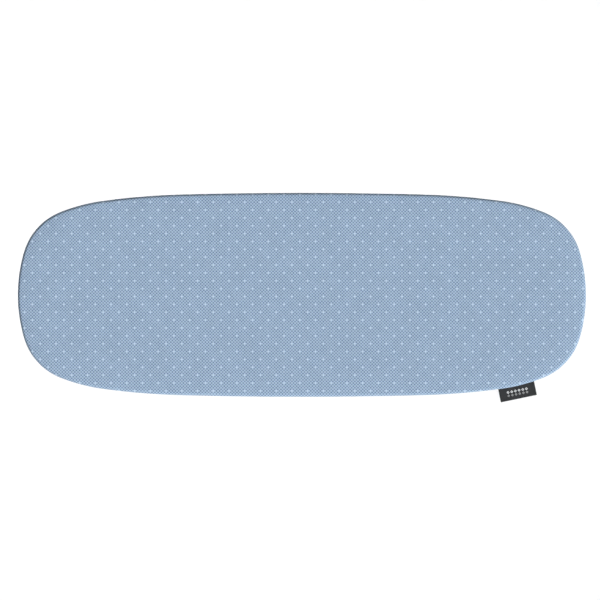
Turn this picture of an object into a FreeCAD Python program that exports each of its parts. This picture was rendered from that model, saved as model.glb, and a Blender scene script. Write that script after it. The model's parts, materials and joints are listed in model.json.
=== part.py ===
"""Table-top ironing board: a padded, round-ended board on two folding tube legs.

Units are millimetres. X runs along the board, Y across it and Z up. The origin is on the table top,
under the middle of the board, with the legs open. "Left" is -X, "right" is +X, "front" is -Y.
"""
import math
import os

import FreeCAD
import Part
from FreeCAD import Vector

# ---- driving dimensions -------------------------------------------------------------------------
BOARD_LENGTH = 831.0
BOARD_WIDTH = 298.5
BOARD_HEIGHT = 180.0

# The outline turns from the long side to the round end through five tangent arcs. These are the
# headings where one arc meets the next, and the radii of the three arcs between side and end.
ARC_HEADINGS = [0.0, 1.5, 7.8, 22.0, 73.7, 90.0]
SHOULDER_RADII = [1070.0, 258.0, 90.0]

# Layers, from the ironing surface down.
COVER_T = 1.0
COVER_EDGE_R = 5.0
FOAM_T = 4.9
FELT_T = 3.0
DECK_T = 0.8
PAD_INSET = 1.5
LAYER_GAP = 0.1

# Steel rim, a C section that opens inward and runs all round under the deck.
RIM_INSET = 2.0
RIM_H = 14.0
RIM_T = 0.8
RIM_TOP_INNER = 24.0
RIM_BOTTOM_INNER = 31.0

# Hem of the cover, turned under the rim, with a tunnel for the elastic along its free edge.
HEM_GAP = 0.2
HEM_INNER = 29.5
TUNNEL_OUTER = 22.0
TUNNEL_DROP = 2.2
TUNNEL_WALL = 0.8
ELASTIC_CLEARANCE = 0.15

# Perforations of the deck.
HEX_FLATS = 12.0
HEX_PITCH = 19.0
HEX_MARGIN = 4.0

# Cross rails over the legs, and the spine channel between them.
RAIL_W = 46.0
RAIL_H = 11.0
SHEET_T = 1.2
SPINE_W = 56.0
SPINE_H = 4.5
WELD_GAP = 0.1

# Legs.
PIVOT_X = 285.0
PIVOT_DROP = 27.0
LEG_Y = 80.0
LEG_TUBE_R = 7.0
LEG_TUBE_T = 1.2
LEG_BEND_R = 24.0
LEG_END = 8.0
LEG_SPLAY = 12.0
BRACE_R = 4.0
BRACE_AT = 75.0
FOOT_BAR_Z = 11.0

# Feet.
FOOT_INNER_Y = 18.0
FOOT_LENGTH = 36.0
FOOT_R = 9.2
FOOT_SOLE_W = 17.0
FOOT_GROOVE = 2.0
FOOT_FIT = 0.05

# Pivots.
PIN_R = 3.0
PIN_HEAD_R = 5.5
PIN_HEAD_T = 2.2
PIN_FIT = 0.05
BUSH_R = 4.5
BUSH_FIT = 0.06
CHEEK_GAP = 8.0
CHEEK_T = 2.0
CHEEK_LOBE_R = 11.0
STOP_PAD_T = 1.0
STOP_CLEARANCE = 0.3
STOP_FROM = 10.0
STOP_TO = 25.0
BRACKET_FLANGE_T = 2.0
BRACKET_FLANGE_X = 20.0
BRACKET_FLANGE_Y = 18.0
RIVET_R = 2.0
RIVET_HEAD_R = 3.7
RIVET_HEAD_T = 1.7
RIVET_X = 15.0
RIVET_Y = 14.0
WASHER_R = 6.8
WASHER_T = 0.7
PLUG_T = 1.0
PLUG_DEPTH = 4.0

# Storage catches: sliders that hook under the folded legs.
CATCH_TRAVEL = 16.0
CATCH_W = 28.0
CATCH_PLATE_T = 4.0
CATCH_PLATE_L = 66.0
CATCH_REACH = 18.0
CATCH_WALL = 16.0
CATCH_LIP_T = 5.0
CATCH_NIB = 1.0
CATCH_CLEARANCE = 0.3
CATCH_SCREW_R = 2.5
CATCH_SCREW_HEAD_R = 5.0
CATCH_SCREW_HEAD_T = 2.6
CATCH_WASHER_R = 7.0
CATCH_WASHER_T = 0.8

# Label, sewn under the front edge.
LABEL_X = 314.5
LABEL_W = 54.0
LABEL_OUT = 19.0
LABEL_IN = 9.0
LABEL_T = 0.9
LABEL_GAP = 0.1
LABEL_ASKEW = 1.2

# ---- levels -------------------------------------------------------------------------------------
Z_COVER_INSIDE = BOARD_HEIGHT - COVER_T
Z_FOAM_TOP = Z_COVER_INSIDE - LAYER_GAP
Z_FELT_TOP = Z_FOAM_TOP - FOAM_T
Z_DECK_TOP = Z_FELT_TOP - FELT_T
Z_DECK_BOTTOM = Z_DECK_TOP - DECK_T
Z_RIM_BOTTOM = Z_DECK_BOTTOM - RIM_H
Z_HEM_TOP = Z_RIM_BOTTOM - HEM_GAP
Z_HEM_BOTTOM = Z_HEM_TOP - COVER_T
Z_TUNNEL_BOTTOM = Z_HEM_BOTTOM - TUNNEL_DROP
Z_RAIL_WEB = Z_DECK_BOTTOM - SHEET_T
Z_BRACKET_TOP = Z_RAIL_WEB - LAYER_GAP
Z_PIVOT = BOARD_HEIGHT - PIVOT_DROP

SPLAY = math.radians(LEG_SPLAY)
LEG_LENGTH = (Z_PIVOT - FOOT_BAR_Z) / math.cos(SPLAY)
FOOT_X = PIVOT_X + LEG_LENGTH * math.sin(SPLAY)
FOLDED_BAR_X = PIVOT_X - LEG_LENGTH

SIDES = {"left": -1, "right": 1}
ROWS = {"front": -1, "back": 1}


# ---- outline ------------------------------------------------------------------------------------
def outline_arcs():
    """The outline's arcs in the +X +Y quarter: (centre x, centre y, radius, first and last heading)."""
    turns = [math.radians(h) for h in ARC_HEADINGS]
    runs = [(math.sin(b) - math.sin(a), math.cos(a) - math.cos(b)) for a, b in zip(turns, turns[1:])]
    left_x = BOARD_LENGTH / 2 - sum(r * run[0] for r, run in zip(SHOULDER_RADII, runs[1:-1]))
    left_y = BOARD_WIDTH / 2 - sum(r * run[1] for r, run in zip(SHOULDER_RADII, runs[1:-1]))
    # The side and end radii follow from the board's length and width.
    (ax, ay), (bx, by) = runs[0], runs[-1]
    side = (left_x * by - left_y * bx) / (ax * by - ay * bx)
    end = (ax * left_y - ay * left_x) / (ax * by - ay * bx)
    x, y = 0.0, BOARD_WIDTH / 2
    arcs = []
    for radius, first, last in zip([side, *SHOULDER_RADII, end], turns, turns[1:]):
        centre = (x - radius * math.sin(first), y - radius * math.cos(first))
        arcs.append((*centre, radius, first, last))
        x = centre[0] + radius * math.sin(last)
        y = centre[1] + radius * math.cos(last)
    return arcs


ARCS = outline_arcs()


def outline_wire(inset, z):
    """The closed outline, moved inward by inset, at height z."""
    edges = []
    for sx, sy in ((1, 1), (1, -1), (-1, -1), (-1, 1)):
        for cx, cy, radius, first, last in ARCS:
            r = radius - inset
            points = [
                Vector(sx * (cx + r * math.sin(t)), sy * (cy + r * math.cos(t)), z)
                for t in (first, (first + last) / 2, last)
            ]
            edges.append(Part.Arc(*points).toShape())
    return Part.Wire(Part.__sortEdges__(edges))


def outline_prism(inset, z0, z1):
    return Part.Face(outline_wire(inset, z0)).extrude(Vector(0, 0, z1 - z0))


def outline_ring(outer, inner, z0, z1):
    return outline_prism(outer, z0, z1).cut(outline_prism(inner, z0, z1))


def round_top_edge(solid, radius):
    """Fillets the edges of a prism's top face."""
    top = solid.BoundBox.ZMax
    edges = [e for e in solid.Edges if all(abs(v.Z - top) < 1e-6 for v in e.Vertexes)]
    return solid.makeFillet(radius, edges)


def front_edge(x):
    """Depth of the front edge at x, and the outline's heading there."""
    for cx, cy, radius, first, last in ARCS:
        if x <= cx + radius * math.sin(last):
            heading = math.asin((x - cx) / radius)
            return cy + radius * math.cos(heading), heading
    raise ValueError("x is past the end of the board")


# ---- small helpers ------------------------------------------------------------------------------
def box(x0, x1, y0, y1, z0, z1):
    low = Vector(min(x0, x1), min(y0, y1), min(z0, z1))
    return Part.makeBox(abs(x1 - x0), abs(y1 - y0), abs(z1 - z0), low)


def cylinder(radius, start, end):
    return Part.makeCylinder(radius, (end - start).Length, start, end - start)


def mirrored(shape, side):
    """The right-hand shape as it is, or its mirror image for the left."""
    return shape if side > 0 else shape.mirror(Vector(0, 0, 0), Vector(1, 0, 0))


def leg_point(out, down, y=0.0):
    """A point in the right leg's own axes: out from the board's middle, and down along the leg."""
    x = PIVOT_X + out * math.cos(SPLAY) + down * math.sin(SPLAY)
    z = Z_PIVOT + out * math.sin(SPLAY) - down * math.cos(SPLAY)
    return Vector(x, y, z)


def polygon_y(points, y0, y1):
    """A prism along Y over a polygon of points that lie in the XZ plane."""
    ring = [Vector(p.x, y0, p.z) for p in points]
    return Part.Face(Part.makePolygon([*ring, ring[0]])).extrude(Vector(0, y1 - y0, 0))


# ---- soft layers --------------------------------------------------------------------------------
def make_cover():
    """One-piece fabric cover: top, side wall, hem and elastic tunnel."""
    outside = round_top_edge(outline_prism(0.0, Z_HEM_BOTTOM, BOARD_HEIGHT), COVER_EDGE_R)
    inside = round_top_edge(
        outline_prism(COVER_T, Z_HEM_TOP, Z_COVER_INSIDE), COVER_EDGE_R - COVER_T
    )
    mouth = outline_prism(HEM_INNER, Z_TUNNEL_BOTTOM - 1, Z_HEM_TOP + 1)
    tunnel = outline_ring(TUNNEL_OUTER, HEM_INNER, Z_TUNNEL_BOTTOM, Z_HEM_TOP)
    bore = outline_ring(
        TUNNEL_OUTER + TUNNEL_WALL,
        HEM_INNER - TUNNEL_WALL,
        Z_TUNNEL_BOTTOM + TUNNEL_WALL,
        Z_HEM_TOP - TUNNEL_WALL,
    )
    return outside.cut(inside).cut(mouth).fuse(tunnel).cut(bore).removeSplitter()


def make_elastic():
    slack = TUNNEL_WALL + ELASTIC_CLEARANCE
    return outline_ring(
        TUNNEL_OUTER + slack, HEM_INNER - slack, Z_TUNNEL_BOTTOM + slack, Z_HEM_TOP - slack
    )


def make_foam():
    foam = outline_prism(PAD_INSET, Z_FELT_TOP, Z_FOAM_TOP)
    return round_top_edge(foam, COVER_EDGE_R - PAD_INSET)


def make_felt():
    return outline_prism(PAD_INSET, Z_DECK_TOP, Z_FELT_TOP)


def make_label():
    """Folded strip that lies under the hem and stands out past the front edge."""
    depth, heading = front_edge(LABEL_X)
    top = Z_HEM_BOTTOM - LABEL_GAP
    strip = box(-LABEL_W / 2, LABEL_W / 2, -LABEL_OUT, LABEL_IN, top - LABEL_T, top)
    strip.rotate(Vector(0, 0, 0), Vector(0, 0, 1), math.degrees(heading) - LABEL_ASKEW)
    strip.translate(Vector(LABEL_X, -depth, 0))
    return strip


# ---- board structure ----------------------------------------------------------------------------
def hexagon(cx, cy, z):
    corner = HEX_FLATS / math.sqrt(3)
    angles = [math.radians(30 + 60 * k) for k in range(6)]
    ring = [Vector(cx + corner * math.cos(a), cy + corner * math.sin(a), z) for a in angles]
    return Part.makePolygon([*ring, ring[0]])


def hex_centres():
    """Places of the deck's holes: clear of the rim, the cross rails and the spine."""
    reach = HEX_FLATS / math.sqrt(3) + HEX_MARGIN
    field = Part.Face(outline_wire(RIM_TOP_INNER + reach, 0.0))
    step_y = HEX_PITCH * math.sqrt(3) / 2
    rows = int(BOARD_WIDTH / 2 / step_y)
    columns = int(BOARD_LENGTH / 2 / HEX_PITCH)
    places = []
    for row in range(-rows, rows + 1):
        shift = HEX_PITCH / 2 if row % 2 else 0.0
        for column in range(-columns - 1, columns + 1):
            x, y = column * HEX_PITCH + shift, row * step_y
            on_rail = abs(abs(x) - PIVOT_X) < RAIL_W / 2 + reach - HEX_MARGIN
            on_spine = abs(x) < PIVOT_X and abs(y) < SPINE_W / 2 + reach - HEX_MARGIN
            if not (on_rail or on_spine) and field.isInside(Vector(x, y, 0), 1e-3, True):
                places.append((x, y))
    return places


def make_deck():
    wires = [hexagon(x, y, Z_DECK_BOTTOM) for x, y in hex_centres()]
    sheet = Part.Face([outline_wire(RIM_INSET, Z_DECK_BOTTOM), *wires])
    sheet.validate()
    return sheet.extrude(Vector(0, 0, DECK_T))


def make_rim():
    wall = outline_ring(RIM_INSET, RIM_INSET + RIM_T, Z_RIM_BOTTOM, Z_DECK_BOTTOM)
    top = outline_ring(RIM_INSET, RIM_TOP_INNER, Z_DECK_BOTTOM - RIM_T, Z_DECK_BOTTOM)
    bottom = outline_ring(RIM_INSET, RIM_BOTTOM_INNER, Z_RIM_BOTTOM, Z_RIM_BOTTOM + RIM_T)
    return wall.fuse([top, bottom]).removeSplitter()


def make_cross_rail():
    """Inverted channel across the board. Its flanges run on into the rim's C section."""
    half, reach = RAIL_W / 2, BOARD_WIDTH
    z0 = Z_DECK_BOTTOM - RAIL_H
    web = box(PIVOT_X - half, PIVOT_X + half, -reach, reach, Z_RAIL_WEB, Z_DECK_BOTTOM)
    web = web.common(outline_prism(RIM_TOP_INNER + WELD_GAP, Z_RAIL_WEB, Z_DECK_BOTTOM))
    room = outline_prism(RIM_INSET + RIM_T + WELD_GAP, z0, Z_RAIL_WEB)
    flange_top = Z_DECK_BOTTOM - RIM_T - WELD_GAP
    under_rim = outline_ring(0.0, RIM_TOP_INNER + WELD_GAP, flange_top, Z_DECK_BOTTOM)
    flanges = []
    for x in (PIVOT_X - half, PIVOT_X + half - SHEET_T):
        flange = box(x, x + SHEET_T, -reach, reach, z0, Z_RAIL_WEB)
        flanges.append(flange.common(room).cut(under_rim))
    rail = web.fuse(flanges).removeSplitter()
    for row in ROWS.values():
        y = row * LEG_Y
        notch = CHEEK_GAP + CHEEK_T + 2.0
        rail = rail.cut(box(PIVOT_X - half - 1, PIVOT_X - half + 3, y - notch, y + notch, z0 - 1, Z_RAIL_WEB))
        for x, hole_y in rivet_places(row):
            rail = rail.cut(cylinder(RIVET_R + PIN_FIT, Vector(x, hole_y, z0), Vector(x, hole_y, Z_DECK_TOP)))
    return rail


def make_spine():
    """Shallow inverted channel between the cross rails. The catches slide in it."""
    end = PIVOT_X - RAIL_W / 2 - WELD_GAP
    half = SPINE_W / 2
    z0 = Z_DECK_BOTTOM - SPINE_H
    spine = box(-end, end, -half, half, z0, Z_DECK_BOTTOM)
    spine = spine.cut(box(-end - 1, end + 1, SHEET_T - half, half - SHEET_T, z0 - 1, Z_RAIL_WEB))
    for side in SIDES.values():
        x = side * catch_screw_x()
        spine = spine.cut(cylinder(CATCH_SCREW_R + PIN_FIT, Vector(x, 0, z0), Vector(x, 0, Z_DECK_TOP)))
    return spine


# ---- leg brackets -------------------------------------------------------------------------------
def rivet_places(row):
    return [
        (PIVOT_X + dx, row * LEG_Y + dy) for dx in (-RIVET_X, RIVET_X) for dy in (-RIVET_Y, RIVET_Y)
    ]


def make_bracket(row):
    """Pressed clevis: a riveted flange, two cheeks and a web that the open leg leans on."""
    y = row * LEG_Y
    z_top = Z_BRACKET_TOP - BRACKET_FLANGE_T
    flange = box(
        PIVOT_X - BRACKET_FLANGE_X,
        PIVOT_X + BRACKET_FLANGE_X,
        y - BRACKET_FLANGE_Y,
        y + BRACKET_FLANGE_Y,
        z_top,
        Z_BRACKET_TOP,
    )
    corners = [e for e in flange.Edges if abs(e.BoundBox.ZLength - BRACKET_FLANGE_T) < 1e-6]
    flange = flange.makeFillet(4.0, corners)
    stop = LEG_TUBE_R + STOP_CLEARANCE + STOP_PAD_T
    profile = [
        Vector(PIVOT_X - CHEEK_LOBE_R - 2, 0, Z_BRACKET_TOP),
        Vector(PIVOT_X + CHEEK_LOBE_R + 5, 0, Z_BRACKET_TOP),
        leg_point(stop + CHEEK_T, STOP_FROM),
        leg_point(stop + CHEEK_T, STOP_TO),
        leg_point(stop - 5, STOP_TO),
        leg_point(-CHEEK_LOBE_R + 3, CHEEK_LOBE_R - 2),
        leg_point(-CHEEK_LOBE_R, 2),
    ]
    cheeks = []
    for inner in (-CHEEK_GAP - CHEEK_T, CHEEK_GAP):
        plate = polygon_y(profile, y + inner, y + inner + CHEEK_T)
        corners = [e for e in plate.Edges if abs(e.BoundBox.YLength - CHEEK_T) < 1e-6]
        low = [e for e in corners if e.BoundBox.ZMax < Z_PIVOT]
        cheeks.append(plate.makeFillet(2.5, low))
    web_profile = [
        leg_point(stop, STOP_FROM),
        leg_point(stop + CHEEK_T, STOP_FROM),
        leg_point(stop + CHEEK_T, STOP_TO - 2.5),
        leg_point(stop, STOP_TO - 2.5),
    ]
    web = polygon_y(web_profile, y - CHEEK_GAP - CHEEK_T / 2, y + CHEEK_GAP + CHEEK_T / 2)
    bracket = flange.fuse([*cheeks, web]).removeSplitter()
    reach = CHEEK_GAP + CHEEK_T + 1
    bracket = bracket.cut(
        cylinder(PIN_R + PIN_FIT, Vector(PIVOT_X, y - reach, Z_PIVOT), Vector(PIVOT_X, y + reach, Z_PIVOT))
    )
    for x, hole_y in rivet_places(row):
        hole = cylinder(RIVET_R + PIN_FIT, Vector(x, hole_y, z_top - 1), Vector(x, hole_y, Z_DECK_TOP))
        bracket = bracket.cut(hole)
    return bracket


def make_stop_pad(row):
    """Rubber pad on the bracket's web."""
    y, face = row * LEG_Y, LEG_TUBE_R + STOP_CLEARANCE
    profile = [
        leg_point(face, STOP_FROM + 0.5),
        leg_point(face + STOP_PAD_T, STOP_FROM + 0.5),
        leg_point(face + STOP_PAD_T, STOP_TO - 3.5),
        leg_point(face, STOP_TO - 3.5),
    ]
    return polygon_y(profile, y - CHEEK_GAP + 1, y + CHEEK_GAP - 1)


def domed_head(radius, height, base, direction):
    """Rivet head: a low dome that rises from base along direction."""
    sphere_r = (radius * radius + height * height) / (2 * height)
    centre = base + direction * (height - sphere_r)
    return Part.makeSphere(sphere_r, centre).common(
        cylinder(radius + 1, base, base + direction * (height + 1))
    )


def make_rivet(x, y):
    """Shank through the bracket's flange and the rail's web, with its head below."""
    foot = Vector(x, y, Z_BRACKET_TOP - BRACKET_FLANGE_T)
    shank = cylinder(RIVET_R, foot, Vector(x, y, Z_DECK_BOTTOM - LAYER_GAP))
    return shank.fuse(domed_head(RIVET_HEAD_R, RIVET_HEAD_T, foot, Vector(0, 0, -1)))


def make_pin(row):
    """Pivot pin of one upright, with a formed head at each end."""
    y, reach = row * LEG_Y, CHEEK_GAP + CHEEK_T
    ends = [Vector(PIVOT_X, y - reach, Z_PIVOT), Vector(PIVOT_X, y + reach, Z_PIVOT)]
    heads = [
        domed_head(PIN_HEAD_R, PIN_HEAD_T, ends[0], Vector(0, -1, 0)),
        domed_head(PIN_HEAD_R, PIN_HEAD_T, ends[1], Vector(0, 1, 0)),
    ]
    return cylinder(PIN_R, *ends).fuse(heads)


# ---- legs ---------------------------------------------------------------------------------------
def leg_path():
    """Centreline of the U-shaped leg tube: down one upright, across the foot bar and up the other."""
    r = LEG_BEND_R
    corner = r * (1 - math.sqrt(0.5))
    edges = []
    for row in ROWS.values():
        y = row * LEG_Y
        top, bottom = leg_point(0, -LEG_END, y), leg_point(0, LEG_LENGTH - r, y)
        inner = leg_point(0, LEG_LENGTH, y - row * r)
        middle = leg_point(0, LEG_LENGTH - corner, y - row * corner)
        edges.append(Part.LineSegment(top, bottom).toShape())
        edges.append(Part.Arc(bottom, middle, inner).toShape())
    across = [leg_point(0, LEG_LENGTH, row * (LEG_Y - r)) for row in ROWS.values()]
    edges.append(Part.LineSegment(*across).toShape())
    return Part.Wire(Part.__sortEdges__(edges))


def swept_tube(radius):
    start = leg_point(0, -LEG_END, -LEG_Y)
    direction = leg_point(0, 1) - leg_point(0, 0)
    ring = Part.Wire(Part.makeCircle(radius, start, direction))
    return leg_path().makePipeShell([ring], True, False)


def make_leg_tube():
    tube = swept_tube(LEG_TUBE_R).cut(swept_tube(LEG_TUBE_R - LEG_TUBE_T))
    for row in ROWS.values():
        y = row * LEG_Y
        ends = [leg_point(0, 0, y + reach) for reach in (-LEG_TUBE_R - 2, LEG_TUBE_R + 2)]
        tube = tube.cut(cylinder(BUSH_R + PIN_FIT, *ends))
    return tube


def make_brace():
    """Rod between the uprights, coped to the tubes it is welded to."""
    rod = cylinder(BRACE_R, leg_point(0, BRACE_AT, -LEG_Y), leg_point(0, BRACE_AT, LEG_Y))
    for row in ROWS.values():
        y = row * LEG_Y
        ends = [leg_point(0, BRACE_AT - 10, y), leg_point(0, BRACE_AT + 10, y)]
        rod = rod.cut(cylinder(LEG_TUBE_R + FOOT_FIT, *ends))
    return max(rod.Solids, key=lambda s: s.Volume)


def make_bush(row):
    """Nylon sleeve through the tube, which turns on the pin and keeps the cheeks apart."""
    y, half = row * LEG_Y, CHEEK_GAP - LAYER_GAP
    ends = [leg_point(0, 0, y - half), leg_point(0, 0, y + half)]
    return cylinder(BUSH_R, *ends).cut(cylinder(PIN_R + BUSH_FIT, *ends))


def make_washers(row):
    """Friction washers on the bush, one each side of the tube."""
    y, washers = row * LEG_Y, []
    for face in (-LEG_TUBE_R - LAYER_GAP - WASHER_T, LEG_TUBE_R + LAYER_GAP):
        ends = [leg_point(0, 0, y + face), leg_point(0, 0, y + face + WASHER_T)]
        washers.append(cylinder(WASHER_R, *ends).cut(cylinder(BUSH_R + PIN_FIT, *ends)))
    return washers


def make_plug(row):
    """Plastic plug in the upright's top end."""
    y, bore = row * LEG_Y, LEG_TUBE_R - LEG_TUBE_T - FOOT_FIT
    inner = cylinder(bore, leg_point(0, PLUG_DEPTH - LEG_END - 1.0, y), leg_point(0, -LEG_END, y))
    rim = cylinder(LEG_TUBE_R, leg_point(0, -LEG_END, y), leg_point(0, -LEG_END - PLUG_T, y))
    return inner.fuse(rim)


def make_foot(row):
    """Rubber sleeve on the foot bar, with a flat grooved sole."""
    y0 = FOOT_INNER_Y if row > 0 else -FOOT_INNER_Y - FOOT_LENGTH
    y1 = y0 + FOOT_LENGTH
    half = FOOT_SOLE_W / 2
    sleeve = cylinder(FOOT_R, Vector(FOOT_X, y0, FOOT_BAR_Z), Vector(FOOT_X, y1, FOOT_BAR_Z))
    sole = box(FOOT_X - half, FOOT_X + half, y0, y1, 0, FOOT_BAR_Z)
    sole_edges = [
        e for e in sole.Edges if e.BoundBox.ZMax < 1e-6 and e.BoundBox.YLength > FOOT_LENGTH - 1
    ]
    foot = sleeve.fuse(sole.makeFillet(1.5, sole_edges)).removeSplitter()
    for k in (-1.5, -0.5, 0.5, 1.5):
        y = (y0 + y1) / 2 + k * FOOT_LENGTH / 5
        foot = foot.cut(
            box(FOOT_X - half - 1, FOOT_X + half + 1, y - FOOT_GROOVE / 2, y + FOOT_GROOVE / 2, -1, 1.2)
        )
    bore = cylinder(
        LEG_TUBE_R + FOOT_FIT, Vector(FOOT_X, y0 - 1, FOOT_BAR_Z), Vector(FOOT_X, y1 + 1, FOOT_BAR_Z)
    )
    return foot.cut(bore)


# ---- storage catches ----------------------------------------------------------------------------
def catch_face_x():
    """Face of the catch that looks at the folded foot bar, with the catch drawn back."""
    return FOLDED_BAR_X - LEG_TUBE_R - CATCH_TRAVEL - 4.0


def catch_screw_x():
    slot_end = catch_face_x() - CATCH_WALL - 6.0
    return slot_end - CATCH_SCREW_R - CATCH_CLEARANCE


def make_catch():
    """Slider: a plate in the spine channel, a slot for its screw, a wall and a hooked lip."""
    face = catch_face_x()
    z_plate_top = Z_RAIL_WEB - LAYER_GAP * 2
    z_plate = z_plate_top - CATCH_PLATE_T
    half_plate = SPINE_W / 2 - SHEET_T - CATCH_CLEARANCE
    z_lip_top = Z_PIVOT - LEG_TUBE_R - CATCH_NIB - 0.6
    z_low = z_lip_top - CATCH_LIP_T
    half = CATCH_W / 2
    plate = box(face - CATCH_PLATE_L, face, -half_plate, half_plate, z_plate, z_plate_top)
    corners = [e for e in plate.Edges if abs(e.BoundBox.ZLength - CATCH_PLATE_T) < 1e-6]
    plate = plate.makeFillet(5.0, corners)
    wall = box(face - CATCH_WALL, face, -half, half, z_low, z_plate_top - 1)
    tip = face + CATCH_REACH
    hook = [
        Vector(face - 1, 0, z_low),
        Vector(tip - 2, 0, z_low),
        Vector(tip, 0, z_low + 2),
        Vector(tip, 0, z_lip_top + CATCH_NIB),
        Vector(tip - 2, 0, z_lip_top + CATCH_NIB),
        Vector(tip - 4, 0, z_lip_top),
        Vector(face - 1, 0, z_lip_top),
    ]
    catch = plate.fuse([wall, polygon_y(hook, -half, half)]).removeSplitter()
    for k in range(4):
        x = face - CATCH_WALL + 2.5 + 3.4 * k
        catch = catch.cut(box(x, x + 1.4, -half - 1, half + 1, z_low - 1, z_low + 0.9))
    slot_r = CATCH_SCREW_R + CATCH_CLEARANCE
    x1 = catch_screw_x()
    x0 = x1 - CATCH_TRAVEL
    slot = cylinder(slot_r, Vector(x0, 0, z_plate - 1), Vector(x0, 0, z_plate_top + 1))
    slot = slot.fuse(cylinder(slot_r, Vector(x1, 0, z_plate - 1), Vector(x1, 0, z_plate_top + 1)))
    slot = slot.fuse(box(x0, x1, -slot_r, slot_r, z_plate - 1, z_plate_top + 1))
    return catch.cut(slot.removeSplitter())


def make_catch_washer():
    top = Z_RAIL_WEB - LAYER_GAP * 2 - CATCH_PLATE_T - CATCH_CLEARANCE
    x = catch_screw_x()
    ends = [Vector(x, 0, top - CATCH_WASHER_T), Vector(x, 0, top)]
    return cylinder(CATCH_WASHER_R, *ends).cut(cylinder(CATCH_SCREW_R + PIN_FIT, *ends))


def make_catch_screw():
    """Shoulder screw up into the spine, with a hexagon socket in its head."""
    x = catch_screw_x()
    head_top = Z_RAIL_WEB - LAYER_GAP * 2 - CATCH_PLATE_T - CATCH_CLEARANCE - CATCH_WASHER_T
    shank = cylinder(CATCH_SCREW_R, Vector(x, 0, head_top), Vector(x, 0, Z_DECK_BOTTOM - LAYER_GAP))
    head = cylinder(
        CATCH_SCREW_HEAD_R, Vector(x, 0, head_top - CATCH_SCREW_HEAD_T), Vector(x, 0, head_top)
    )
    low = [e for e in head.Edges if e.BoundBox.ZMax < head_top - CATCH_SCREW_HEAD_T + 1e-6]
    head = head.makeFillet(0.8, low)
    ring = [
        Vector(x + 1.7 * math.cos(math.radians(60 * k)), 1.7 * math.sin(math.radians(60 * k)), head_top - 4)
        for k in range(6)
    ]
    socket = Part.Face(Part.makePolygon([*ring, ring[0]])).extrude(Vector(0, 0, 3.0))
    return shank.fuse(head).cut(socket)


# ---- nodes --------------------------------------------------------------------------------------
def build():
    nodes = {
        "cover": [make_cover()],
        "foam_pad": [make_foam()],
        "felt_underlay": [make_felt()],
        "hem_elastic": [make_elastic()],
        "side_label": [make_label()],
        "deck_panel": [make_deck()],
        "rim_channel": [make_rim()],
        "spine_channel": [make_spine()],
        "bracket_rivets": [],
        "stop_pads": [],
        "catch_screws": [],
        "catch_washers": [],
    }
    for side_name, side in SIDES.items():
        rows = ROWS.values()
        nodes[f"cross_rail_{side_name}"] = [mirrored(make_cross_rail(), side)]
        nodes[f"leg_tube_{side_name}"] = [mirrored(make_leg_tube(), side)]
        nodes[f"leg_brace_{side_name}"] = [mirrored(make_brace(), side)]
        nodes[f"pivot_pins_{side_name}"] = [mirrored(make_pin(row), side) for row in rows]
        nodes[f"pivot_bushes_{side_name}"] = [mirrored(make_bush(row), side) for row in rows]
        nodes[f"friction_washers_{side_name}"] = [
            mirrored(washer, side) for row in rows for washer in make_washers(row)
        ]
        nodes[f"leg_plugs_{side_name}"] = [mirrored(make_plug(row), side) for row in rows]
        nodes[f"storage_catch_{side_name}"] = [mirrored(make_catch(), side)]
        nodes["catch_screws"].append(mirrored(make_catch_screw(), side))
        nodes["catch_washers"].append(mirrored(make_catch_washer(), side))
        for row_name, row in ROWS.items():
            nodes[f"leg_bracket_{side_name}_{row_name}"] = [mirrored(make_bracket(row), side)]
            nodes[f"foot_{side_name}_{row_name}"] = [mirrored(make_foot(row), side)]
            nodes["bracket_rivets"] += [mirrored(make_rivet(*xy), side) for xy in rivet_places(row)]
            nodes["stop_pads"].append(mirrored(make_stop_pad(row), side))
    return nodes


def write(nodes):
    os.makedirs("parts", exist_ok=True)
    for name, shapes in nodes.items():
        solids = [solid for shape in shapes for solid in shape.Solids]
        shape = solids[0] if len(solids) == 1 else Part.makeCompound(solids)
        if not shape.isValid():
            raise ValueError(f"{name} is not a valid shape")
        shape.exportStep(f"parts/{name}.step")


write(build())
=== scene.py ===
"""Looks of the table-top ironing board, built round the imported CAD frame.

Lengths are in metres, in the frame's axes. The photograph looks along -Z, with +X to its right.
"""
import json
import math

import bmesh
import bpy
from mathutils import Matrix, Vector, noise


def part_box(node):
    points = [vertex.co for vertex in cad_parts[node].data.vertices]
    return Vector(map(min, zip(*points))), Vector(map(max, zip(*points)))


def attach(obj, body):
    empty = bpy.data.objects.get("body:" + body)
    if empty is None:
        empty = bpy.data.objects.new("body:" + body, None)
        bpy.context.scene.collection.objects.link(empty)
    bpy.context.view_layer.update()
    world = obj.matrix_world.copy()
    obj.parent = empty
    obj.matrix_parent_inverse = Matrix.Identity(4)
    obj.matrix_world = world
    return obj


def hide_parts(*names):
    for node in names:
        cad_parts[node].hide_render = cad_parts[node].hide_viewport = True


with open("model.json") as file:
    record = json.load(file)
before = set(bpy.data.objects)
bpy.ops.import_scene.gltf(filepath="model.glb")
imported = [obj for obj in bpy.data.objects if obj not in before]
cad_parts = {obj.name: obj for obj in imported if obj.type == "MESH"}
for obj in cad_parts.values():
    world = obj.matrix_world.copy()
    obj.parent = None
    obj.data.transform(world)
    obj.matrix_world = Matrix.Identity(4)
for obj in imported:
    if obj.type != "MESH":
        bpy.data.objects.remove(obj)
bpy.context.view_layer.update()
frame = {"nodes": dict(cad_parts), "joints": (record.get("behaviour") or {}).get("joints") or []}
NODES = frame["nodes"]
MM = 0.001
SIDES = ("left", "right")

# ---- the board's outline ------------------------------------------------------------------------
COVER_LOW, COVER_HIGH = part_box("cover")
HALF_LENGTH = COVER_HIGH.x
HALF_WIDTH = COVER_HIGH.y
TOP = COVER_HIGH.z
# Points in each row round the outline. Many more would take the cover past the export's face limit.
AROUND = 1240
# The layers close on a middle line that stops this share of the half width before each end.
MIDDLE_LINE_STOP = 0.95

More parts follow.
